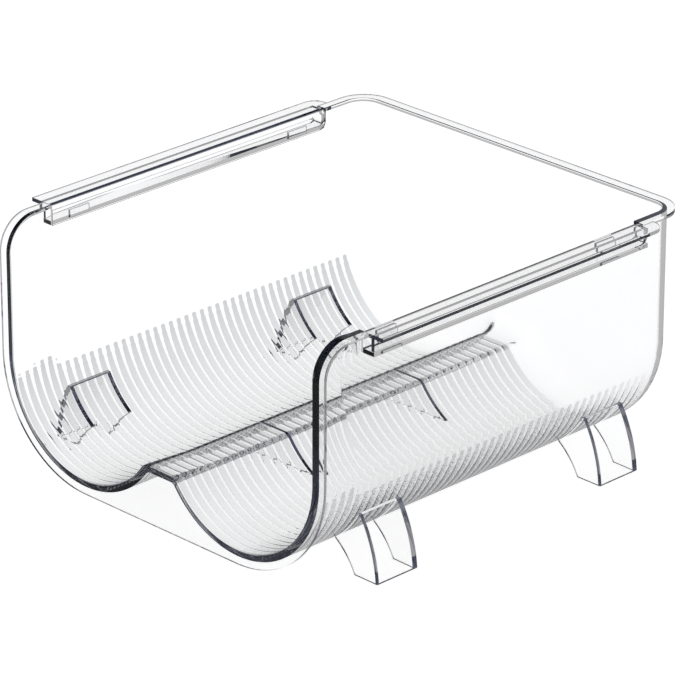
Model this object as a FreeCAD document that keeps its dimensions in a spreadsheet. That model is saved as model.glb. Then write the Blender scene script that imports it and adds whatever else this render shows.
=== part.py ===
# Clear two-trough water bottle organizer, in millimetres.
# X runs to the right, Y to the back and Z up. Each piece is drawn with the front face of the
# tray at Y = 0 and the rest plane at Z = 0, and its body is then moved forward by half the depth.
import FreeCAD, Part
import math
import os
import re
import Sketcher

# Driving dimensions
SIZES = {
    "trough_radius": 47.0,
    "trough_offset": 48.0,
    "floor_height": 6.7,
    "ridge_height": 20.7,
    "side_height": 109.7,
    "inner_depth": 218.0,
    "wall": 2.0,
    "back_radius": 9.0,
    "ridge_rounding": 1.2,
    "rim_reach": 5.3,
    "back_reach": 6.0,
    "rim_thick": 2.0,
    "rim_corner": 15.0,
    "front_corner": 15.8,
    "web_front": 68.5,
    "web_spacing": 81.7,
    "web_thick": 1.6,
    "web_clear": 4.5,
    "rail_start": 26.2,
    "rail_length": 167.2,
    "rail_height": 9.6,
    "rail_width": 8.5,
    "rail_wall": 1.8,
    "rail_flange": 4.9,
    "rail_tail": 6.5,
    "rail_drop": 0.3,
    "rail_rounding": 3.0,
    "tail_rounding": 7.0,
    "seat_rounding": 4.0,
    "seat_gap": 0.2,
    "ledge_thick": 2.0,
    "pad_start": 9.2,
    "pad_spacing": 133.5,
    "pad_length": 11.3,
    "pad_height": 3.8,
    "pad_drop": 4.3,
    "pad_rise": 1.3,
    "foot_start": 29.9,
    "foot_spacing": 138.2,
    "foot_length": 24.2,
    "foot_wall": 2.0,
    "foot_top": 23.0,
    "foot_ledge": 1.8,
    "foot_heel": 102.4,
    "foot_toe": 88.5,
    "foot_arch": 76.5,
    "heel_radius": 65.0,
    "arch_radius": 36.0,
}

doc = FreeCAD.newDocument("bottle_organizer")
sheet = doc.addObject("Spreadsheet::Sheet", "Sizes")
for row, (alias, number) in enumerate(SIZES.items(), start=1):
    sheet.set("A" + str(row), str(number))
    sheet.setAlias("A" + str(row), alias)
    sheet.set("B" + str(row), alias.replace("_", " "))
doc.recompute()

# Distances that several pieces share, as sums of the sheet's sizes
TROUGH_CENTRE = "floor_height + trough_radius"
RIDGE_TOP = "floor_height + ridge_height"
RIM_TOP = "floor_height + side_height"
CORNER_FOOT = RIM_TOP + " - front_corner"
INSIDE = "trough_offset + trough_radius"
RIM_EDGE = INSIDE + " + rim_reach"
RIM_BACK = "inner_depth + back_reach"
RAIL_TOP = RIM_TOP + " - rail_drop"
SEAT_FOOT = RAIL_TOP + " - rail_height"
LEDGE_TOP = SEAT_FOOT + " + ledge_thick"
LAP = INSIDE + " + wall / 2"
RAIL_EDGE = INSIDE + " + rail_width"
RAIL_FRONT = "rail_start + seat_gap"
FLANGE_EDGE = RAIL_EDGE + " + rail_flange"
SEAT_END = "rail_start + rail_length + 2 * seat_gap"


def bound(text):
    """The same sum with every size named as a cell of the sheet."""
    return re.sub(r"[a-z]\w*", r"Sizes.\g<0>", text)


def now(text):
    """What the sum comes to at present."""
    return float(sheet.evalExpression(text))


def minus(text):
    return "-(" + text + ")"


class Outline:
    """A sketch on one of its body's origin planes, with its points held by the sheet's sizes."""

    def __init__(self, body, name, plane, lift="0"):
        self.sketch = body.newObject("Sketcher::SketchObject", name)
        base = [item for item in body.Origin.OriginFeatures if item.Role == plane][0]
        self.sketch.AttachmentSupport = [(base, "")]
        self.sketch.MapMode = "FlatFace"
        self.sketch.setExpression("AttachmentOffset.Base.z", bound(lift))

    def rule(self, *words):
        return self.sketch.addConstraint(Sketcher.Constraint(*words))

    def hold(self, item, point, across=None, up=None):
        """Tie a point's distances from the origin to the sheet, one way or both ways."""
        for kind, text, axis in (("DistanceX", across, -2), ("DistanceY", up, -1)):
            if text is None:
                continue
            if abs(now(text)) < 1e-6:
                self.rule("PointOnObject", item, point, axis)
                continue
            index = self.rule(kind, -1, 1, item, point, now(text))
            self.sketch.setExpression("Constraints[" + str(index) + "]", bound(text))

    def radius(self, item, text):
        index = self.rule("Radius", item, now(text))
        self.sketch.setExpression("Constraints[" + str(index) + "]", bound(text))

    def line(self, start, end):
        ends = [FreeCAD.Vector(now(across), now(up), 0) for across, up in (start, end)]
        return self.sketch.addGeometry(Part.LineSegment(*ends), False)

    def arc(self, centre, radius, first, last):
        """An arc that runs anticlockwise between two angles in radians, with nothing tied yet."""
        middle = FreeCAD.Vector(centre[0], centre[1], 0)
        circle = Part.Circle(middle, FreeCAD.Vector(0, 0, 1), radius)
        return self.sketch.addGeometry(Part.ArcOfCircle(circle, first, last), False)

    def join(self, *pairs):
        """Make points meet, each pair as item, point, item, point."""
        for pair in pairs:
            self.rule("Coincident", *pair)

    def ring(self, *runs):
        """Close a ring of items, each as item, its first point and its last point."""
        for run, following in zip(runs, runs[1:] + runs[:1]):
            self.join((run[0], run[2], following[0], following[1]))

    def trough_arc(self, side, reach, first, last):
        """An arc about a trough's centre, left for side -1 and right for side 1."""
        centre = (side * now("trough_offset"), now(TROUGH_CENTRE))
        item = self.arc(centre, now(reach), first, last)
        across = "trough_offset" if side > 0 else minus("trough_offset")
        self.hold(item, 3, across, TROUGH_CENTRE)
        self.radius(item, reach)
        return item

    def polygon(self, corners):
        """Straight sides round a ring of corners, with every corner held."""
        ring = list(zip(corners, corners[1:] + corners[:1]))
        sides = [self.line(start, end) for start, end in ring]
        for side, following in zip(sides, sides[1:] + sides[:1]):
            self.join((side, 2, following, 1))
        for side, corner in zip(sides, corners):
            self.hold(side, 1, *corner)

    def box(self, left, right, low, high):
        self.polygon([(left, low), (right, low), (right, high), (left, high)])


def new_body(label):
    """An empty body that stands with the middle of the tray's depth at Y = 0."""
    body = doc.addObject("PartDesign::Body", label)
    body.setExpression("Placement.Base.y", bound(minus(RIM_BACK) + " / 2"))
    doc.recompute()
    return body


def grow(body, kind, name, outline, length, back=False, both=False):
    """Pad or pocket an outline, away from its plane's normal where back is set."""
    feature = body.newObject("PartDesign::" + kind, name)
    feature.Profile = outline.sketch
    feature.setExpression("Length", bound(length))
    feature.Reversed = back
    feature.Midplane = both
    doc.recompute()
    return feature


def edges(feature, test):
    """Names of the edges whose box and length pass a test."""
    chosen = []
    for index, edge in enumerate(feature.Shape.Edges, start=1):
        if test(edge.BoundBox, edge.Length):
            chosen.append("Edge" + str(index))
    return chosen


def round_off(body, name, feature, radius, test):
    """Round the edges of the last feature that pass a test."""
    fillet = body.newObject("PartDesign::Fillet", name)
    fillet.Base = (feature, edges(feature, test))
    fillet.setExpression("Radius", bound(radius))
    doc.recompute()
    return fillet


def near(value, text):
    return abs(value - now(text)) < 0.01


def repeat(body, name, feature, axis, length):
    """A second copy of a feature, further along one of the body's axes."""
    pattern = body.newObject("PartDesign::LinearPattern", name)
    line = [item for item in body.Origin.OriginFeatures if item.Role == axis][0]
    pattern.Originals = [feature]
    pattern.Direction = (line, [""])
    pattern.setExpression("Length", bound(length))
    pattern.Occurrences = 2
    body.Tip = pattern
    doc.recompute()
    return pattern


def dip(reach, level):
    """How far below the sideways direction a trough's arc meets a level, in radians."""
    return math.asin((now(TROUGH_CENTRE) - now(level)) / now(reach))


def trough_profile(body, name, reach, flat, top):
    """Two side walls, two troughs and the flat between them, seen from the front."""
    outline = Outline(body, name, "XZ_Plane")
    side = "trough_offset + " + reach
    turn = dip(reach, flat)
    left = outline.line((minus(side), top), (minus(side), TROUGH_CENTRE))
    left_arc = outline.trough_arc(-1, reach, math.pi, 2 * math.pi - turn)
    level = outline.line(("ridge_rounding - wall", flat), ("wall - ridge_rounding", flat))
    right_arc = outline.trough_arc(1, reach, math.pi + turn, 2 * math.pi)
    right = outline.line((side, TROUGH_CENTRE), (side, top))
    lid = outline.line((side, top), (minus(side), top))
    outline.ring((left, 1, 2), (left_arc, 1, 2), (level, 1, 2), (right_arc, 1, 2),
                 (right, 1, 2), (lid, 1, 2))
    outline.hold(left, 1, minus(side), top)
    outline.hold(left, 2, up=TROUGH_CENTRE)
    outline.hold(level, 1, up=flat)
    outline.hold(level, 2, up=flat)
    outline.hold(right, 1, up=TROUGH_CENTRE)
    outline.hold(right, 2, side, top)
    return outline


def front_plate_profile(body):
    """The front rim with the plate below the ridge: straight below, open where bottles lie."""
    outline = Outline(body, "front_plate_outline", "XZ_Plane")
    reach = "trough_radius + rim_reach"
    low = TROUGH_CENTRE + " - trough_radius - rim_reach"
    turn = dip("trough_radius", RIDGE_TOP)
    left = outline.line((minus(RIM_EDGE), CORNER_FOOT), (minus(RIM_EDGE), TROUGH_CENTRE))
    left_arc = outline.trough_arc(-1, reach, math.pi, 1.5 * math.pi)
    floor = outline.line((minus("trough_offset"), low), ("trough_offset", low))
    right_arc = outline.trough_arc(1, reach, 1.5 * math.pi, 2 * math.pi)
    right = outline.line((RIM_EDGE, TROUGH_CENTRE), (RIM_EDGE, CORNER_FOOT))
    right_end = outline.line((RIM_EDGE, CORNER_FOOT), (INSIDE, CORNER_FOOT))
    inner_right = outline.line((INSIDE, CORNER_FOOT), (INSIDE, TROUGH_CENTRE))
    right_trough = outline.trough_arc(1, "trough_radius", math.pi + turn, 2 * math.pi)
    level = outline.line(("wall", RIDGE_TOP), (minus("wall"), RIDGE_TOP))
    left_trough = outline.trough_arc(-1, "trough_radius", math.pi, 2 * math.pi - turn)
    inner_left = outline.line((minus(INSIDE), TROUGH_CENTRE), (minus(INSIDE), CORNER_FOOT))
    left_end = outline.line((minus(INSIDE), CORNER_FOOT), (minus(RIM_EDGE), CORNER_FOOT))
    outline.ring((left, 1, 2), (left_arc, 1, 2), (floor, 1, 2), (right_arc, 1, 2),
                 (right, 1, 2), (right_end, 1, 2), (inner_right, 1, 2), (right_trough, 2, 1),
                 (level, 1, 2), (left_trough, 2, 1), (inner_left, 1, 2), (left_end, 1, 2))
    outline.hold(left, 1, minus(RIM_EDGE), CORNER_FOOT)
    outline.hold(left, 2, up=TROUGH_CENTRE)
    outline.hold(floor, 1, across=minus("trough_offset"))
    outline.hold(floor, 2, across="trough_offset")
    outline.hold(right, 1, up=TROUGH_CENTRE)
    outline.hold(right, 2, RIM_EDGE, CORNER_FOOT)
    outline.hold(inner_right, 1, INSIDE, CORNER_FOOT)
    outline.hold(inner_right, 2, up=TROUGH_CENTRE)
    outline.hold(level, 1, up=RIDGE_TOP)
    outline.hold(level, 2, up=RIDGE_TOP)
    outline.hold(inner_left, 1, up=TROUGH_CENTRE)
    outline.hold(inner_left, 2, minus(INSIDE), CORNER_FOOT)
    return outline


def web_profile(body):
    """The space under the ridge, from the middle of one trough's wall to that of the other."""
    outline = Outline(body, "web_outline", "XZ_Plane", minus("web_front"))
    reach = "trough_radius + wall / 2"
    low = "floor_height + web_clear"
    high = RIDGE_TOP + " - wall / 2"
    below = dip(reach, low)
    above = dip(reach, high)
    left = outline.trough_arc(-1, reach, 2 * math.pi - below, 2 * math.pi - above)
    right = outline.trough_arc(1, reach, math.pi + above, math.pi + below)
    top = outline.line((minus("wall"), high), ("wall", high))
    bottom = outline.line(("wall", low), (minus("wall"), low))
    outline.ring((left, 1, 2), (top, 1, 2), (right, 1, 2), (bottom, 1, 2))
    for item, level in ((top, high), (bottom, low)):
        outline.hold(item, 1, up=level)
        outline.hold(item, 2, up=level)
    return outline


def corner_rim_profile(body, lift):
    """A quarter ring: the rim round a side wall's top front corner."""
    outline = Outline(body, "corner_rim_outline", "YZ_Plane", lift)
    middle = (now("front_corner"), now(CORNER_FOOT))
    outer = outline.arc(middle, now("front_corner"), 0.5 * math.pi, math.pi)
    inner = outline.arc(middle, now("front_corner - rim_thick"), 0.5 * math.pi, math.pi)
    top = outline.line(("front_corner", RIM_TOP), ("front_corner", RIM_TOP + " - rim_thick"))
    foot = outline.line(("rim_thick", CORNER_FOOT), ("0", CORNER_FOOT))
    outline.ring((top, 1, 2), (inner, 1, 2), (foot, 1, 2), (outer, 2, 1))
    outline.hold(outer, 3, "front_corner", CORNER_FOOT)
    outline.join((outer, 3, inner, 3))
    outline.hold(top, 1, "front_corner", RIM_TOP)
    outline.hold(top, 2, "front_corner", RIM_TOP + " - rim_thick")
    outline.hold(foot, 1, up=CORNER_FOOT)
    outline.hold(foot, 2, up=CORNER_FOOT)
    return outline


def top_rim_profile(body):
    """The rim along both sides and the back, with round corners, seen from above."""
    outline = Outline(body, "top_rim_outline", "XY_Plane", RIM_TOP + " - rim_thick")
    front = "front_corner"
    outer_turn = RIM_BACK + " - rim_corner"
    inner_turn = "inner_depth - back_radius"
    outer_side = RIM_EDGE + " - rim_corner"
    inner_side = INSIDE + " - back_radius"
    quarters = ((1, 0.0, 0.5 * math.pi), (-1, 0.5 * math.pi, math.pi))
    outer = []
    inner = []
    for side, first, last in quarters:
        middle = (side * now(outer_side), now(outer_turn))
        outer.append(outline.arc(middle, now("rim_corner"), first, last))
        middle = (side * now(inner_side), now(inner_turn))
        inner.append(outline.arc(middle, now("back_radius"), first, last))
    right = outline.line((RIM_EDGE, front), (RIM_EDGE, outer_turn))
    back = outline.line((outer_side, RIM_BACK), (minus(outer_side), RIM_BACK))
    left = outline.line((minus(RIM_EDGE), outer_turn), (minus(RIM_EDGE), front))
    left_end = outline.line((minus(RIM_EDGE), front), (minus(INSIDE), front))
    inner_left = outline.line((minus(INSIDE), front), (minus(INSIDE), inner_turn))
    inner_back = outline.line((minus(inner_side), "inner_depth"), (inner_side, "inner_depth"))
    inner_right = outline.line((INSIDE, inner_turn), (INSIDE, front))
    right_end = outline.line((INSIDE, front), (RIM_EDGE, front))
    outline.ring((right, 1, 2), (outer[0], 1, 2), (back, 1, 2), (outer[1], 1, 2), (left, 1, 2),
                 (left_end, 1, 2), (inner_left, 1, 2), (inner[1], 2, 1), (inner_back, 1, 2),
                 (inner[0], 2, 1), (inner_right, 1, 2), (right_end, 1, 2))
    outline.hold(right, 1, RIM_EDGE, front)
    outline.hold(outer[0], 3, outer_side, outer_turn)
    outline.hold(right, 2, RIM_EDGE, outer_turn)
    outline.hold(back, 1, across=outer_side)
    outline.hold(outer[1], 3, minus(outer_side), outer_turn)
    outline.hold(back, 2, minus(outer_side), RIM_BACK)
    outline.hold(left, 1, up=outer_turn)
    outline.hold(left, 2, minus(RIM_EDGE), front)
    outline.hold(inner_left, 1, minus(INSIDE), front)
    outline.hold(inner[1], 3, minus(inner_side), inner_turn)
    outline.hold(inner_left, 2, minus(INSIDE), inner_turn)
    outline.hold(inner_back, 1, across=minus(inner_side))
    outline.hold(inner[0], 3, inner_side, inner_turn)
    outline.hold(inner_back, 2, inner_side, "inner_depth")
    outline.hold(inner_right, 1, up=inner_turn)
    outline.hold(inner_right, 2, INSIDE, front)
    return outline


def seat_profile(body, name, level):
    """A cut in the side walls where the rails stand, rounded at its lower back corner."""
    outline = Outline(body, name, "YZ_Plane")
    sky = RIM_TOP + " + rim_thick"
    turn_along = SEAT_END + " - seat_rounding"
    turn_up = level + " + seat_rounding"
    corner = outline.arc((now(turn_along), now(turn_up)), now("seat_rounding"),
                         1.5 * math.pi, 2 * math.pi)
    front = outline.line(("rail_start", sky), ("rail_start", level))
    floor = outline.line(("rail_start", level), (turn_along, level))
    back = outline.line((SEAT_END, turn_up), (SEAT_END, sky))
    lid = outline.line((SEAT_END, sky), ("rail_start", sky))
    outline.ring((front, 1, 2), (floor, 1, 2), (corner, 1, 2), (back, 1, 2), (lid, 1, 2))
    outline.hold(front, 1, "rail_start", sky)
    outline.hold(front, 2, "rail_start", level)
    outline.hold(corner, 3, turn_along, turn_up)
    outline.hold(floor, 2, turn_along, level)
    outline.hold(back, 1, up=turn_up)
    outline.hold(back, 2, SEAT_END, sky)
    return outline


def make_tray():
    body = new_body("tray")

    # A block with the hollow taken out of it, and the plate that closes the front below it
    under = RIDGE_TOP + " - wall"
    behind = "inner_depth + wall"
    profile = trough_profile(body, "outside_outline", "trough_radius + wall", under, RIM_TOP)
    block = grow(body, "Pad", "outside", profile, behind, back=True)
    last = round_off(body, "front_corners", block, "front_corner",
                     lambda box, long: near(box.YMax, "0") and near(box.ZMin, RIM_TOP))
    round_off(body, "ridge_underside", last, "ridge_rounding",
              lambda box, long: near(box.ZMin, under) and near(box.ZMax, under)
              and near(long, behind))
    sky = RIM_TOP + " + rim_thick"
    profile = trough_profile(body, "inside_outline", "trough_radius", RIDGE_TOP, sky)
    grow(body, "Pocket", "hollow", profile, "inner_depth")
    last = grow(body, "Pad", "front_plate", front_plate_profile(body), "rim_thick", back=True)

    # Rounded edges of the ridge and round the back wall, inside and outside
    last = round_off(body, "ridge_edges", last, "ridge_rounding",
                     lambda box, long: near(box.ZMin, RIDGE_TOP) and near(box.ZMax, RIDGE_TOP)
                     and near(long, "inner_depth"))
    last = round_off(body, "inside_back", last, "back_radius",
                     lambda box, long: near(box.YMin, "inner_depth")
                     and near(box.YMax, "inner_depth") and not near(box.ZMin, RIM_TOP))
    round_off(body, "outside_back", last, "back_radius + wall",
              lambda box, long: near(box.YMin, behind) and not near(box.ZMin, RIM_TOP))

    # Rim, cross webs and the ledges below the rails
    grow(body, "Pad", "top_rim", top_rim_profile(body), "rim_thick")
    for name, lift in (("right", LAP), ("left", minus(RIM_EDGE))):
        corner = corner_rim_profile(body, lift)
        grow(body, "Pad", name + "_corner_rim", corner, "rim_reach - wall / 2")
    front_web = grow(body, "Pad", "front_web", web_profile(body), "web_thick", back=True)
    repeat(body, "webs", front_web, "Y_Axis", "web_spacing")
    ledges = Outline(body, "ledge_outline", "XY_Plane", SEAT_FOOT)
    ledges.box(LAP, RAIL_EDGE, "rail_start", SEAT_END)
    ledges.box(minus(RAIL_EDGE), minus(LAP), "rail_start", SEAT_END)
    grow(body, "Pad", "ledges", ledges, "ledge_thick")

    # The rails' seats: the whole wall down to the ledge, and its inner half to the lap's foot
    seats = seat_profile(body, "rail_seat_outline", LEDGE_TOP)
    grow(body, "Pocket", "rail_seats", seats, "3 * (" + RAIL_EDGE + ")", both=True)
    laps = seat_profile(body, "lap_seat_outline", SEAT_FOOT)
    grow(body, "Pocket", "lap_seats", laps, "2 * (" + LAP + ")", both=True)
    return body


def rail_profile(body):
    """A channel open below, with a flange that overhangs outward and a lap inside the wall."""
    outline = Outline(body, "rail_outline", "XZ_Plane", minus(RAIL_FRONT))
    skin = " - rail_wall"
    turn_across = INSIDE + " + rail_rounding"
    turn_up = RAIL_TOP + " - rail_rounding"
    corners = [(turn_across, RAIL_TOP), (FLANGE_EDGE, RAIL_TOP), (FLANGE_EDGE, RAIL_TOP + skin),
               (RAIL_EDGE, RAIL_TOP + skin), (RAIL_EDGE, LEDGE_TOP),
               (RAIL_EDGE + skin, LEDGE_TOP), (RAIL_EDGE + skin, RAIL_TOP + skin),
               (INSIDE + " + rail_wall", RAIL_TOP + skin), (INSIDE + " + rail_wall", LEDGE_TOP),
               (LAP, LEDGE_TOP), (LAP, SEAT_FOOT), (INSIDE, SEAT_FOOT), (INSIDE, turn_up)]
    sides = [outline.line(start, end) for start, end in zip(corners, corners[1:])]
    corner = outline.arc((now(turn_across), now(turn_up)), now("rail_rounding"),
                         0.5 * math.pi, math.pi)
    for side, following in zip(sides, sides[1:]):
        outline.join((side, 2, following, 1))
    outline.join((sides[-1], 2, corner, 2), (corner, 1, sides[0], 1))
    for side, place in zip(sides, corners):
        outline.hold(side, 1, *place)
    outline.hold(corner, 3, turn_across, turn_up)
    outline.hold(sides[-1], 2, up=turn_up)
    return outline


def rail_corner_profile(body, name, lift, level, end):
    """What is cut off the rail's lower back corner to round it like its seat."""
    outline = Outline(body, name, "YZ_Plane", lift)
    turn_along = end + " - seat_rounding"
    turn_up = level + " + seat_rounding"
    beyond = end + " + rail_wall"
    below = level + " - rail_wall"
    arc = outline.arc((now(turn_along), now(turn_up)), now("seat_rounding"),
                      1.5 * math.pi, 2 * math.pi)
    corners = [(end, turn_up), (beyond, turn_up), (beyond, below), (turn_along, below),
               (turn_along, level)]
    sides = [outline.line(start, stop) for start, stop in zip(corners, corners[1:])]
    outline.ring((arc, 1, 2), *[(side, 1, 2) for side in sides])
    outline.hold(arc, 3, turn_along, turn_up)
    outline.hold(sides[0], 1, up=turn_up)
    for side, place in zip(sides[1:], corners[1:]):
        outline.hold(side, 1, *place)
    outline.hold(sides[-1], 2, turn_along, level)
    return outline


def make_rail():
    body = new_body("right_rail")
    grow(body, "Pad", "channel", rail_profile(body), "rail_length", back=True)
    channel_end = RAIL_FRONT + " + rail_length"

    # The closed back end, rounded like the seat that it stands in
    cap = Outline(body, "cap_outline", "XY_Plane", LEDGE_TOP)
    cap.box(INSIDE + " + rail_rounding", RAIL_EDGE, channel_end + " - rail_wall", channel_end)
    grow(body, "Pad", "cap", cap, "rail_height - ledge_thick - rail_wall / 2")
    inner_cap = Outline(body, "inner_cap_outline", "XY_Plane", LEDGE_TOP)
    inner_cap.box(INSIDE, INSIDE + " + rail_rounding", channel_end + " - rail_wall", channel_end)
    grow(body, "Pad", "inner_cap", inner_cap, "rail_height - ledge_thick - rail_rounding")
    corner = rail_corner_profile(body, "rail_corner_outline", LAP, LEDGE_TOP, channel_end)
    grow(body, "Pocket", "lower_corner", corner, "2 * rail_width", back=True)
    corner = rail_corner_profile(body, "lap_corner_outline", INSIDE, SEAT_FOOT, channel_end)
    grow(body, "Pocket", "lap_corner", corner, "wall / 2", back=True)

    # The flange runs on past the channel, beside the rim, and ends round
    tail = Outline(body, "tail_outline", "XY_Plane", RAIL_TOP + " - rail_wall")
    tail.box(RIM_EDGE + " + seat_gap", FLANGE_EDGE, channel_end + " - rail_wall",
             channel_end + " + rail_tail")
    last = grow(body, "Pad", "tail", tail, "rail_wall")
    round_off(body, "tail_corner", last, "tail_rounding",
              lambda box, long: near(box.XMin, FLANGE_EDGE) and near(long, "rail_wall")
              and box.YMin > now(channel_end))

    # Two raised pads on the inner side
    pad = Outline(body, "pad_outline", "YZ_Plane", INSIDE)
    start = RAIL_FRONT + " + pad_start"
    high = RAIL_TOP + " - pad_drop"
    pad.box(start, start + " + pad_length", high + " - pad_height", high)
    front_pad = grow(body, "Pad", "front_pad", pad, "pad_rise", back=True)
    repeat(body, "pads", front_pad, "Y_Axis", "pad_spacing")
    return body


def centre_between(first, last, radius):
    """The centre, on the right hand going from first to last, of an arc through both."""
    along = (last[0] - first[0], last[1] - first[1])
    span = math.hypot(*along)
    depth = math.sqrt(radius ** 2 - (span / 2) ** 2)
    middle = ((first[0] + last[0]) / 2, (first[1] + last[1]) / 2)
    return (middle[0] + along[1] / span * depth, middle[1] - along[0] / span * depth)


def angle(centre, point):
    return math.atan2(point[1] - centre[1], point[0] - centre[0])


def foot_profile(body, name, lift, whole):
    """A foot seen from the front: a whole end wall, or else the outer wall alone."""
    outline = Outline(body, name, "XZ_Plane", lift)
    trough = (now("trough_offset"), now(TROUGH_CENTRE))
    seat_radius = now("trough_radius + wall")
    heel_radius = now("heel_radius")
    top = now("floor_height + foot_top")
    reach = math.sqrt(seat_radius ** 2 - (trough[1] - top) ** 2)
    ledge_in = (trough[0] + reach, top)
    ledge_out = (ledge_in[0] + now("foot_ledge"), top)
    heel = (now("foot_heel"), 0.0)
    heel_centre = centre_between(ledge_out, heel, heel_radius)
    if whole:
        inner_radius = "arch_radius"
        drop = math.sqrt(seat_radius ** 2 - (now("foot_arch") - trough[0]) ** 2)
        meet = (now("foot_arch"), trough[1] - drop)
        toe = (now("foot_toe"), 0.0)
        inner_centre = centre_between(meet, toe, now(inner_radius))
    else:
        inner_radius = "heel_radius - foot_wall"
        thin = now(inner_radius)
        gap = math.hypot(trough[0] - heel_centre[0], trough[1] - heel_centre[1])
        spread = math.acos((gap ** 2 + thin ** 2 - seat_radius ** 2) / (2 * gap * thin))
        turn = angle(heel_centre, trough) - spread
        meet = (heel_centre[0] + thin * math.cos(turn), heel_centre[1] + thin * math.sin(turn))
        toe = (heel_centre[0] + math.sqrt(thin ** 2 - heel_centre[1] ** 2), 0.0)
        inner_centre = heel_centre

    # Five sides: the seat on the trough, the flat top, the heel, the sole and the inner edge
    seat = outline.arc(trough, seat_radius, angle(trough, meet), angle(trough, ledge_in))
    ledge = outline.line([str(v) for v in ledge_in], [str(v) for v in ledge_out])
    outer = outline.arc(heel_centre, heel_radius, angle(heel_centre, heel),
                        angle(heel_centre, ledge_out))
    sole = outline.line([str(v) for v in heel], [str(v) for v in toe])
    inner = outline.arc(inner_centre, now(inner_radius), angle(inner_centre, toe),
                        angle(inner_centre, meet))
    outline.ring((seat, 1, 2), (ledge, 1, 2), (outer, 2, 1), (sole, 1, 2), (inner, 1, 2))
    outline.hold(seat, 3, "trough_offset", TROUGH_CENTRE)
    outline.radius(seat, "trough_radius + wall")
    outline.hold(ledge, 1, up="floor_height + foot_top")
    outline.rule("Horizontal", ledge)
    index = outline.rule("DistanceX", ledge, 1, ledge, 2, now("foot_ledge"))
    outline.sketch.setExpression("Constraints[" + str(index) + "]", bound("foot_ledge"))
    outline.hold(sole, 1, "foot_heel", "0")
    outline.radius(outer, "heel_radius")
    outline.radius(inner, inner_radius)
    if whole:
        outline.hold(sole, 2, "foot_toe", "0")
        outline.hold(inner, 2, across="foot_arch")
    else:
        outline.hold(sole, 2, up="0")
        outline.join((outer, 3, inner, 3))
    return outline


def make_foot(label, start):
    """Three walls, open below and towards the middle."""
    body = new_body(label)
    lift = minus(start)
    outer_wall = foot_profile(body, "outer_wall_outline", lift, whole=False)
    grow(body, "Pad", "outer_wall", outer_wall, "foot_length", back=True)
    end_wall = foot_profile(body, "end_wall_outline", lift, whole=True)
    end_wall = grow(body, "Pad", "end_wall", end_wall, "foot_wall", back=True)
    repeat(body, "end_walls", end_wall, "Y_Axis", "foot_length - foot_wall")
    return body


def mirrored(label, body):
    """The same piece for the left side."""
    copy = doc.addObject("Part::Mirroring", label)
    copy.Source = body
    copy.Normal = FreeCAD.Vector(1, 0, 0)
    doc.recompute()
    return copy


tray = make_tray()
right_rail = make_rail()
front_foot = make_foot("front_right_foot", "foot_start")
back_foot = make_foot("back_right_foot", "foot_start + foot_spacing")
pieces = [tray, right_rail, front_foot, back_foot, mirrored("left_rail", right_rail),
          mirrored("front_left_foot", front_foot), mirrored("back_left_foot", back_foot)]
doc.recompute()

# Nothing is written unless every object of the document is sound
for item in doc.Objects:
    if "Invalid" in item.State or "Error" in item.State:
        raise RuntimeError(item.Label + " failed")
for piece in pieces:
    shape = piece.Shape
    if shape.isNull() or not shape.isValid() or len(shape.Solids) != 1:
        raise RuntimeError(piece.Label + " isn't one sound solid")

os.makedirs("parts", exist_ok=True)
for piece in pieces:
    piece.Shape.exportStep("parts/" + piece.Label + ".step")
    box = piece.Shape.BoundBox
    print(piece.Label, "volume", round(piece.Shape.Volume), "from",
          [round(v, 2) for v in (box.XMin, box.YMin, box.ZMin)], "to",
          [round(v, 2) for v in (box.XMax, box.YMax, box.ZMax)])
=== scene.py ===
import math

import bmesh
import bpy
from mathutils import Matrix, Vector


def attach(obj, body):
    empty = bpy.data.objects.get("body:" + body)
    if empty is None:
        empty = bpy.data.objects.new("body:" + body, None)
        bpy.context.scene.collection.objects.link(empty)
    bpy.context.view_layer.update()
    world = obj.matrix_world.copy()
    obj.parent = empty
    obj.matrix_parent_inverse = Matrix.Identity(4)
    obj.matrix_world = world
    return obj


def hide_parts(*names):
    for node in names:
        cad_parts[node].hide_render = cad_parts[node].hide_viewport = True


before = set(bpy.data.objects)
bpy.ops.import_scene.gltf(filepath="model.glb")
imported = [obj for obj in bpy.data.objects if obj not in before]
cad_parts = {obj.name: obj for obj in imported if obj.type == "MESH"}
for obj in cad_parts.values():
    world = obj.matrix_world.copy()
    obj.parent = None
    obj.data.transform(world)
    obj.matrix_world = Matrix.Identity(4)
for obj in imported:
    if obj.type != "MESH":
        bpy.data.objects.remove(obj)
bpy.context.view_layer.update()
MM = 0.001

# The tray
# One clear moulding of a glassy plastic: two half-round troughs with a flat ridge between them,
# high side walls and a closed back. The ridge's edges are well rounded, and those of the rim
# round the opening are crisp.
WALL = 2 * MM
FRONT_FACE = -112 * MM
BACK_FACE = 112 * MM
TROUGH_RADIUS = 47 * MM
TROUGH_CENTRE = Vector((48 * MM, 0, 53.7 * MM))
RIDGE_TOP = 27.4 * MM
RIDGE_ROUNDING = 3.0 * MM
CAD_RIDGE_ROUNDING = 1.2 * MM
RIM_TOP = 116.4 * MM
RIM_SIDE = 100.3 * MM
RIM_REACH = 5.3 * MM
RIM_CORNER = Vector((85 * MM, 96 * MM))
RIM_CORNER_REACH = 15 * MM
FRONT_CORNER_RADIUS = 15.8 * MM
RIM_ROUNDING = 0.026 * MM
WELD = 0.002 * MM
NEAR = 0.2 * MM
FLAT = math.radians(0.5)
SMOOTH_BELOW = math.radians(20)
CORNER_ABOVE = math.radians(50)
SAME_SIZE = 5 * MM * MM
ALONG_Y = Vector((0, 1, 0))


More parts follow.
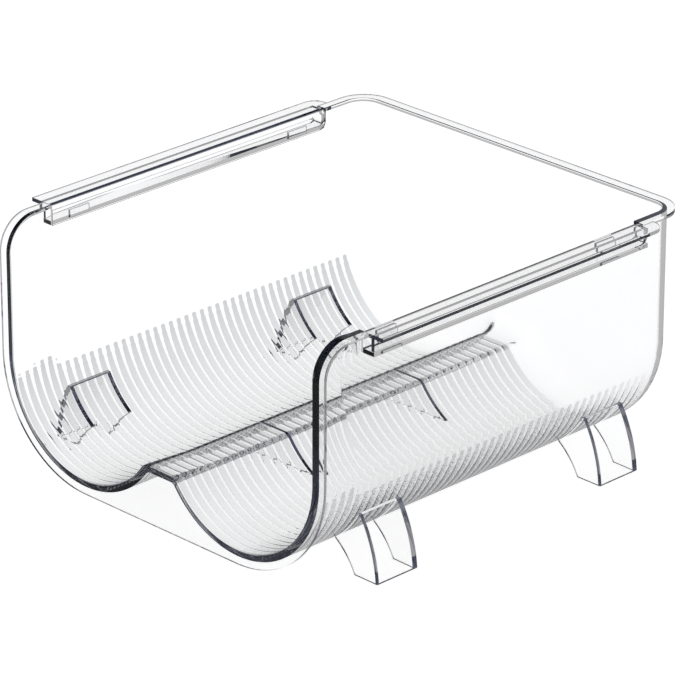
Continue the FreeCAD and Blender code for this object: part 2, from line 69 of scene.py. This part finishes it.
def clear_plastic(name, roughness, waviness):
    """A clear moulded plastic: polished, hardly grey in itself, with a faint wave in its skin."""
    plastic = bpy.data.materials.new(name)
    plastic.use_nodes = True
    nodes = plastic.node_tree.nodes
    links = plastic.node_tree.links
    shader = nodes["Principled BSDF"]
    shader.inputs["Base Color"].default_value = (1, 1, 1, 1)
    shader.inputs["Roughness"].default_value = roughness
    shader.inputs["IOR"].default_value = 1.54
    shader.inputs["Transmission Weight"].default_value = 1.0
    shader.inputs["Specular Tint"].default_value = (0.2, 0.2, 0.2, 1)
    place = nodes.new("ShaderNodeTexCoord")
    flow = nodes.new("ShaderNodeTexNoise")
    flow.inputs["Scale"].default_value = 28
    flow.inputs["Detail"].default_value = 1.5
    skin = nodes.new("ShaderNodeBump")
    skin.inputs["Strength"].default_value = waviness
    skin.inputs["Distance"].default_value = 0.4 * MM
    links.new(place.outputs["Object"], flow.inputs["Vector"])
    links.new(flow.outputs["Fac"], skin.inputs["Height"])
    links.new(skin.outputs["Normal"], shader.inputs["Normal"])
    body = nodes.new("ShaderNodeVolumeAbsorption")
    body.inputs["Color"].default_value = (0.74, 0.75, 0.76, 1)
    body.inputs["Density"].default_value = 15
    links.new(body.outputs["Volume"], nodes["Material Output"].inputs["Volume"])
    return plastic


def merged_copy(node):
    """A solid's triangles as one closed mesh, with flat faces made whole."""
    mesh = bmesh.new()
    mesh.from_mesh(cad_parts[node].data)
    bmesh.ops.remove_doubles(mesh, verts=mesh.verts, dist=WELD)
    bmesh.ops.dissolve_limit(mesh, angle_limit=FLAT, verts=mesh.verts, edges=mesh.edges,
                             delimit=set())
    return mesh


def edge_middle(edge):
    return (edge.verts[0].co + edge.verts[1].co) / 2


def outer_corners(mesh):
    """The edges where two faces meet in an outward corner."""
    return [edge for edge in mesh.edges
            if len(edge.link_faces) == 2 and edge.calc_face_angle_signed() > CORNER_ABOVE]


def round_edges(mesh, edges, rounding, segments):
    bmesh.ops.bevel(mesh, geom=edges, offset=rounding, offset_type="OFFSET", affect="EDGES",
                    segments=segments, profile=0.5, clamp_overlap=True, material=-1)


def finished(name, mesh, *materials):
    """A piece from its mesh: smooth but for its sharp edges."""
    for edge in mesh.edges:
        edge.smooth = len(edge.link_faces) == 2 and edge.calc_face_angle() < SMOOTH_BELOW
    for face in mesh.faces:
        face.smooth = True
    data = bpy.data.meshes.new(name)
    mesh.to_mesh(data)
    mesh.free()
    for material in materials:
        data.materials.append(material)
    piece = bpy.data.objects.new(name, data)
    bpy.context.scene.collection.objects.link(piece)
    even = piece.modifiers.new("even_faces", "WEIGHTED_NORMAL")
    even.mode = "FACE_AREA"
    even.weight = 100
    even.thresh = SAME_SIZE
    even.keep_sharp = True
    return piece


def on_outer_rim(edge):
    """Whether an edge is on the outer border of the rim: sides and back, or round the troughs."""
    middle = edge_middle(edge)
    if middle.z > TROUGH_CENTRE.z:
        corner = Vector((abs(middle.x), middle.y)) - RIM_CORNER
        return (middle.y > BACK_FACE - NEAR
                or abs(abs(middle.x) - RIM_SIDE) < NEAR
                or corner.x > 0 and corner.y > 0 and corner.length > RIM_CORNER_REACH)
    low = Vector((abs(middle.x) - TROUGH_CENTRE.x, 0, middle.z - TROUGH_CENTRE.z))
    reach = TROUGH_RADIUS + RIM_REACH - NEAR
    return low.length > reach or middle.z < TROUGH_CENTRE.z - reach


def carry_on(mesh, faces, centre, axis, angle, steps, shift=(0, 0, 0)):
    """Sweep end faces about a centre or along a shift, and give the new end faces."""
    swept = bmesh.ops.spin(mesh, geom=faces, cent=centre, axis=axis, dvec=shift, angle=angle,
                           steps=steps, use_duplicate=False)
    bmesh.ops.delete(mesh, geom=faces, context="FACES_ONLY")
    return [item for item in swept["geom_last"] if isinstance(item, bmesh.types.BMFace)]


def ridge_turn(wall, rounding):
    """The middle of the arc that rounds the ridge's edge, at its top or under its wall."""
    drop = TROUGH_CENTRE.z - RIDGE_TOP + wall + rounding
    reach = math.sqrt((TROUGH_RADIUS + wall + rounding) ** 2 - drop ** 2)
    turn = Vector((TROUGH_CENTRE.x - reach, 0, RIDGE_TOP - wall - rounding))
    return turn, math.atan2(reach, drop)


def soften_ridge(mesh):
    """Give the ridge's edges their full roundness, at the top and under it."""
    for wall in (0, WALL):
        tight, tight_lean = ridge_turn(wall, CAD_RIDGE_ROUNDING)
        soft, soft_lean = ridge_turn(wall, RIDGE_ROUNDING)
        for vert in mesh.verts:
            across = abs(vert.co.x) - tight.x
            rise = vert.co.z - tight.z
            off = math.hypot(across, rise) - CAD_RIDGE_ROUNDING
            if rise > 0 and abs(off) < NEAR / 10:
                bend = math.atan2(across, rise) * soft_lean / tight_lean
                vert.co.x = math.copysign(soft.x + RIDGE_ROUNDING * math.sin(bend), vert.co.x)
                vert.co.z = soft.z + RIDGE_ROUNDING * math.cos(bend)


def round_the_trough(mesh, sections, climb):
    """Sweep sections from the ridge's middle, over its edge and round a trough by a climb."""
    turn, lean = ridge_turn(0, RIDGE_ROUNDING)
    ends = carry_on(mesh, sections, turn, ALONG_Y, 0, 1, (turn.x, 0, 0))
    ends = carry_on(mesh, ends, turn, ALONG_Y, lean, 5)
    return carry_on(mesh, ends, TROUGH_CENTRE, ALONG_Y, -(climb + lean), 56)


def section(mesh, corners):
    """A face across the middle of the ridge, from places along the tray and heights over it."""
    return mesh.faces.new([mesh.verts.new((0, along, RIDGE_TOP + rise))
                           for along, rise in corners])


def mirrored(mesh):
    """The mesh with its other half, both facing outward."""
    bmesh.ops.mirror(mesh, geom=mesh.verts[:] + mesh.edges[:] + mesh.faces[:], axis="X",
                     merge_dist=0.001 * MM)
    bmesh.ops.recalc_face_normals(mesh, faces=mesh.faces)
    return mesh


def joined(mesh, other, materials):
    """Two closed meshes made one, with each one's faces keeping their own material."""
    halves = []
    for part in (mesh, other):
        data = bpy.data.meshes.new("working")
        part.to_mesh(data)
        part.free()
        for material in materials:
            data.materials.append(material)
        piece = bpy.data.objects.new("working", data)
        bpy.context.scene.collection.objects.link(piece)
        halves.append(piece)
    union = halves[0].modifiers.new("join", "BOOLEAN")
    union.operation = "UNION"
    union.solver = "MANIFOLD"
    union.object = halves[1]
    bpy.context.view_layer.update()
    whole = bmesh.new()
    whole.from_object(halves[0], bpy.context.evaluated_depsgraph_get())
    for piece in halves:
        bpy.data.objects.remove(piece)
    return whole


shell = merged_copy("tray")
soften_ridge(shell)
rim = [edge for edge in outer_corners(shell) if on_outer_rim(edge)]
round_edges(shell, rim, RIM_ROUNDING, 4)
bmesh.ops.triangulate(shell, faces=shell.faces)

# The tray's front lip
# The edge of the opening is thicker than the wall behind it: it stands in by a millimetre and a
# half all along the ridge, the troughs and the walls, and thins out over a few centimetres.
LIP_RISE = 1.4 * MM
LIP_DEPTH = 26 * MM
LIP_ROUNDING = 0.45 * MM
LIP_ROOT = 1.0 * MM
LIP_SET_BACK = 0.03 * MM
LIP_SINK = 0.1 * MM
LIP_TAIL = 1.0 * MM
LIP_SHORTER = 2 * MM
LIP_TOP_RUN = 8 * MM


def lip_rise(along):
    """How far the lip stands in at a place along the tray."""
    back = along - FRONT_FACE - LIP_ROUNDING
    return LIP_RISE * min(max(1 - back / (LIP_DEPTH - LIP_ROUNDING), 0), 1)


def front_lip():
    """The lip as one mesh, from one wall's top to the other's, shorter in the top corners."""
    mesh = bmesh.new()
    front = FRONT_FACE + LIP_SET_BACK
    corners = [(front, -LIP_ROOT)]
    for step in range(4):
        bend = math.radians(30 * step)
        corners.append((front + LIP_ROUNDING * (1 - math.sin(bend)),
                        LIP_RISE - LIP_ROUNDING * (1 - math.cos(bend))))
    corners[1:] = sorted(corners[1:])
    corners.append((FRONT_FACE + LIP_DEPTH + LIP_TAIL, -LIP_SINK))
    corners.append((FRONT_FACE + LIP_DEPTH + LIP_TAIL, -LIP_ROOT))
    ends = round_the_trough(mesh, [section(mesh, corners)], math.pi / 2)
    corner = Vector((0, FRONT_FACE + FRONT_CORNER_RADIUS, RIM_TOP - FRONT_CORNER_RADIUS))
    ends = carry_on(mesh, ends, corner, ALONG_Y, 0, 1, (0, 0, corner.z - TROUGH_CENTRE.z))
    for vert in ends[0].verts:
        vert.co.y = min(vert.co.y, corner.y - LIP_SHORTER)
    ends = carry_on(mesh, ends, corner, Vector((1, 0, 0)), -math.pi / 2, 20)
    ends = carry_on(mesh, ends, corner, ALONG_Y, 0, 1, (0, LIP_TOP_RUN, 0))
    for vert in ends[0].verts:
        vert.co.x = max(vert.co.x, TROUGH_CENTRE.x + TROUGH_RADIUS + LIP_SINK)
    return mirrored(mesh)


lip = front_lip()

# The tray's ribs
# Close flat-topped ribs cross the floors and the ridge, moulded in one with the tray, a little
# rougher than the walls and greyed low down by painted shade. They sink away before the troughs
# turn upright.
RIB_PITCH = 4.8 * MM
RIB_WIDTH = 3.7 * MM
RIB_HEIGHT = 0.16 * MM
RIB_ROOT = 0.5 * MM
RIB_LEAST = 0.02 * MM
RIB_SINK = 0.05 * MM
RIBS_FROM = -111.2 * MM
RIBS_TO = 97 * MM
RIBS_FADE = 26 * MM
RIBS_TOP = 48 * MM
RIB_STEPS = 8
ROUGH_AND_SHADED_BELOW = 24 * MM
CLEAR_ABOVE = 42 * MM


def all_ribs():
    """Every rib of the floor as one mesh, sunk to nothing at their tops."""
    mesh = bmesh.new()
    sections = []
    for count in range(int((RIBS_TO - RIBS_FROM) / RIB_PITCH)):
        middle = RIBS_FROM + RIB_WIDTH / 2 + count * RIB_PITCH
        corners = []
        for step in range(RIB_STEPS + 1):
            across = step / RIB_STEPS * 2 - 1
            along = middle + across * RIB_WIDTH / 2
            rise = max(RIB_HEIGHT * (1 - across ** 6), RIB_LEAST)
            corners.append((along, lip_rise(along) + rise))
        corners.append((middle + RIB_WIDTH / 2, -RIB_ROOT))
        corners.append((middle - RIB_WIDTH / 2, -RIB_ROOT))
        sections.append(section(mesh, corners))
    climb = math.acos((TROUGH_CENTRE.z - RIBS_TOP) / TROUGH_RADIUS)
    round_the_trough(mesh, sections, climb)
    for vert in mesh.verts:
        if vert.co.x > TROUGH_CENTRE.x:
            fade = min(max((vert.co.z - RIBS_FADE) / (RIBS_TOP - RIBS_FADE), 0), 1)
            spoke = Vector((vert.co.x - TROUGH_CENTRE.x, 0, vert.co.z - TROUGH_CENTRE.z))
            vert.co += spoke.normalized() * fade * (RIB_HEIGHT + RIB_SINK)
    mirrored(mesh)
    for face in mesh.faces:
        face.material_index = 1
    return mesh


def change_with_height(material, socket, low, high):
    """Let a value run from one number low on the ribs to another where they end."""
    nodes = material.node_tree.nodes
    links = material.node_tree.links
    place = nodes.new("ShaderNodeTexCoord")
    height = nodes.new("ShaderNodeSeparateXYZ")
    change = nodes.new("ShaderNodeMapRange")
    change.inputs["From Min"].default_value = ROUGH_AND_SHADED_BELOW
    change.inputs["From Max"].default_value = CLEAR_ABOVE
    change.inputs["To Min"].default_value = low
    change.inputs["To Max"].default_value = high
    links.new(place.outputs["Object"], height.inputs["Vector"])
    links.new(height.outputs["Z"], change.inputs["Value"])
    links.new(change.outputs["Result"], nodes["Principled BSDF"].inputs[socket])


ribs = all_ribs()
tray_plastic = clear_plastic("tray_plastic", 0.02, 0.05)
rib_plastic_painted_shade = clear_plastic("rib_plastic_painted_shade", 0.05, 0.05)
change_with_height(rib_plastic_painted_shade, "Roughness", 0.05, 0.02)
# Painted shade: a base colour below white greys the ribs low in the troughs. The roughness above
# is their real finish.
change_with_height(rib_plastic_painted_shade, "Base Color", 0.97, 1)
tray_plastics = [tray_plastic, rib_plastic_painted_shade]
lipped_shell = joined(shell, lip, tray_plastics)
ribbed_shell = joined(lipped_shell, ribs, tray_plastics)
tray = finished("clear_tray", ribbed_shell, *tray_plastics)
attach(tray, "root")
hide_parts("tray")

# The two rails
# Each is a narrow channel of the same plastic that stands on the side wall and its ledge, laps
# down inside the wall, and has two small raised pads on its inner side and a flange that
# overhangs outward. Another organizer's feet stand on it.
FIT_GAP = 0.03 * MM
LAP_FACE = 96 * MM
LEDGE_TOP = 108.5 * MM
CHANNEL_ROOF = 114.3 * MM
CHANNEL_SIDE = 96.8 * MM
COVE = 3 * MM
RAIL_ROUNDING = 0.3 * MM
rail_plastic = clear_plastic("rail_plastic", 0.02, 0.04)
for side in ("left", "right"):
    channel = merged_copy(side + "_rail")
    roof_corner = [edge for edge in channel.edges
                   if edge.calc_face_angle_signed() < -CORNER_ABOVE
                   and abs(edge_middle(edge).z - CHANNEL_ROOF) < NEAR
                   and abs(abs(edge_middle(edge).x) - CHANNEL_SIDE) < NEAR]
    # Neither rounding passes the next edge: the cove ends at 1.2 mm, and the outside stays crisp.
    round_edges(channel, roof_corner, COVE, 6)
    round_edges(channel, outer_corners(channel), RAIL_ROUNDING, 2)
    for vert in channel.verts:
        if vert.co.z < LEDGE_TOP + NEAR / 2 and abs(vert.co.x) < LAP_FACE + NEAR / 20:
            vert.co.x -= math.copysign(FIT_GAP, vert.co.x)
    bmesh.ops.translate(channel, verts=channel.verts, vec=Vector((0, 0, FIT_GAP)))
    rail = finished("clear_" + side + "_rail", channel, rail_plastic)
    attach(rail, "root")
    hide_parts(side + "_rail")

# The four feet
# Short hollow feet of the same plastic, seated on the outside of the troughs: a curved outer
# wall and two end walls with rounded edges, open below and towards the middle.
FOOT_SEAT = 49 * MM
FOOT_ROUNDING = 0.3 * MM
foot_plastic = clear_plastic("foot_plastic", 0.02, 0.04)
for end in ("front", "back"):
    for side in ("left", "right"):
        hollow = merged_copy(end + "_" + side + "_foot")
        round_edges(hollow, outer_corners(hollow), FOOT_ROUNDING, 2)
        for vert in hollow.verts:
            middle = Vector((math.copysign(TROUGH_CENTRE.x, vert.co.x), vert.co.y,
                             TROUGH_CENTRE.z))
            spoke = vert.co - middle
            if spoke.length < FOOT_SEAT + FIT_GAP:
                vert.co = middle + spoke.normalized() * (FOOT_SEAT + FIT_GAP)
        foot = finished("clear_" + end + "_" + side + "_foot", hollow, foot_plastic)
        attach(foot, "root")
        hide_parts(end + "_" + side + "_foot")

# The floor and the light
# A plain white table under a darker room. What looks straight through the plastic sees the white
# table. A ray that the plastic turns back sees less of it at each turn, as in a real studio
# where only the table is bright, and this draws the dark lines in the edges.
TABLE_RADIUS = 4
TABLE_BELOW = 0.2 * MM
BRIGHT_UP_TO = 0.45
DARK_FROM = 0.6
TURN_SCALE = 12
AFTER_TURNS = ((1, (0.50, 0.50, 0.50)), (2, (0.43, 0.43, 0.43)), (3, (0.35, 0.35, 0.36)),
               (4, (0.27, 0.27, 0.29)), (6, (0.18, 0.19, 0.23)), (8, (0.12, 0.13, 0.18)))
AFTER_MOST = (0.08, 0.09, 0.14, 1)


def seen_after_turns(tree):
    """How often a ray has been turned back, and the room's colour for it."""
    path = tree.nodes.new("ShaderNodeLightPath")
    share = tree.nodes.new("ShaderNodeMath")
    share.operation = "DIVIDE"
    share.inputs[1].default_value = TURN_SCALE
    dim = tree.nodes.new("ShaderNodeValToRGB")
    dim.color_ramp.elements[0].color = (1, 1, 1, 1)
    dim.color_ramp.elements[1].color = AFTER_MOST
    for times, shade in AFTER_TURNS:
        stop = dim.color_ramp.elements.new(times / TURN_SCALE)
        stop.color = shade + (1,)
    tree.links.new(path.outputs["Glossy Depth"], share.inputs[0])
    tree.links.new(share.outputs["Value"], dim.inputs["Fac"])
    return path.outputs["Glossy Depth"], dim.outputs["Color"]


table_mesh = bmesh.new()
bmesh.ops.create_circle(table_mesh, cap_ends=True, segments=96, radius=TABLE_RADIUS)
bmesh.ops.translate(table_mesh, verts=table_mesh.verts, vec=Vector((0, 0, -TABLE_BELOW)))
table_data = bpy.data.meshes.new("table")
table_mesh.to_mesh(table_data)
table_mesh.free()
table = bpy.data.objects.new("table", table_data)
bpy.context.scene.collection.objects.link(table)
table_paint = bpy.data.materials.new("table_paint")
table_paint.use_nodes = True
paint = table_paint.node_tree.nodes
wires = table_paint.node_tree.links
paint["Principled BSDF"].inputs["Base Color"].default_value = (0.6, 0.6, 0.6, 1)
paint["Principled BSDF"].inputs["Roughness"].default_value = 0.9
paint["Principled BSDF"].inputs["Specular IOR Level"].default_value = 0
glow = paint.new("ShaderNodeEmission")
glow.inputs["Strength"].default_value = 0.9
lit = paint.new("ShaderNodeAddShader")
turned = paint.new("ShaderNodeEmission")
choice = paint.new("ShaderNodeMixShader")
turns, colour = seen_after_turns(table_paint.node_tree)
wires.new(paint["Principled BSDF"].outputs["BSDF"], lit.inputs[0])
wires.new(glow.outputs["Emission"], lit.inputs[1])
wires.new(colour, turned.inputs["Color"])
wires.new(turns, choice.inputs["Fac"])
wires.new(lit.outputs["Shader"], choice.inputs[1])
wires.new(turned.outputs["Emission"], choice.inputs[2])
wires.new(choice.outputs["Shader"], paint["Material Output"].inputs["Surface"])
table_data.materials.append(table_paint)

room = bpy.data.worlds.new("room")
room.use_nodes = True
bpy.context.scene.world = room
sky = room.node_tree.nodes
wires = room.node_tree.links
where = sky.new("ShaderNodeTexCoord")
split = sky.new("ShaderNodeSeparateXYZ")
height = sky.new("ShaderNodeValToRGB")
height.color_ramp.elements[0].position = BRIGHT_UP_TO
height.color_ramp.elements[0].color = (1, 1, 1, 1)
height.color_ramp.elements[1].position = DARK_FROM
height.color_ramp.elements[1].color = (0.05, 0.06, 0.09, 1)
product = sky.new("ShaderNodeVectorMath")
product.operation = "MULTIPLY"
turns, colour = seen_after_turns(room.node_tree)
wires.new(where.outputs["Generated"], split.inputs["Vector"])
wires.new(split.outputs["Z"], height.inputs["Fac"])
wires.new(height.outputs["Color"], product.inputs[0])
wires.new(colour, product.inputs[1])
wires.new(product.outputs["Vector"], sky["Background"].inputs["Color"])

# The camera
# It looks down on the organizer from the right of its open front, from far off. Light is followed
# through as many bounces as a ray makes that runs along inside a wall.
AIM = Vector((0, -17 * MM, 54.2 * MM))
AWAY = 2171.9 * MM
ROUND = math.radians(45.53)
RISE = math.radians(23.85)
MOST_BOUNCES = 64
eye = AIM + AWAY * Vector((math.cos(RISE) * math.sin(ROUND), -math.cos(RISE) * math.cos(ROUND),
                           math.sin(RISE)))
lens = bpy.data.cameras.new("camera")
lens.sensor_width = 36
lens.lens = 262.7
lens.shift_x = 0.0336
lens.shift_y = 0.0200
lens.clip_end = 50
camera = bpy.data.objects.new("camera", lens)
camera.rotation_euler = (AIM - eye).to_track_quat("-Z", "Y").to_euler()
camera.location = eye
bpy.context.scene.collection.objects.link(camera)
bpy.context.scene.camera = camera
bpy.context.scene.view_settings.view_transform = "Standard"
bpy.context.scene.cycles.max_bounces = MOST_BOUNCES
bpy.context.scene.cycles.transmission_bounces = MOST_BOUNCES
bpy.context.scene.cycles.glossy_bounces = MOST_BOUNCES
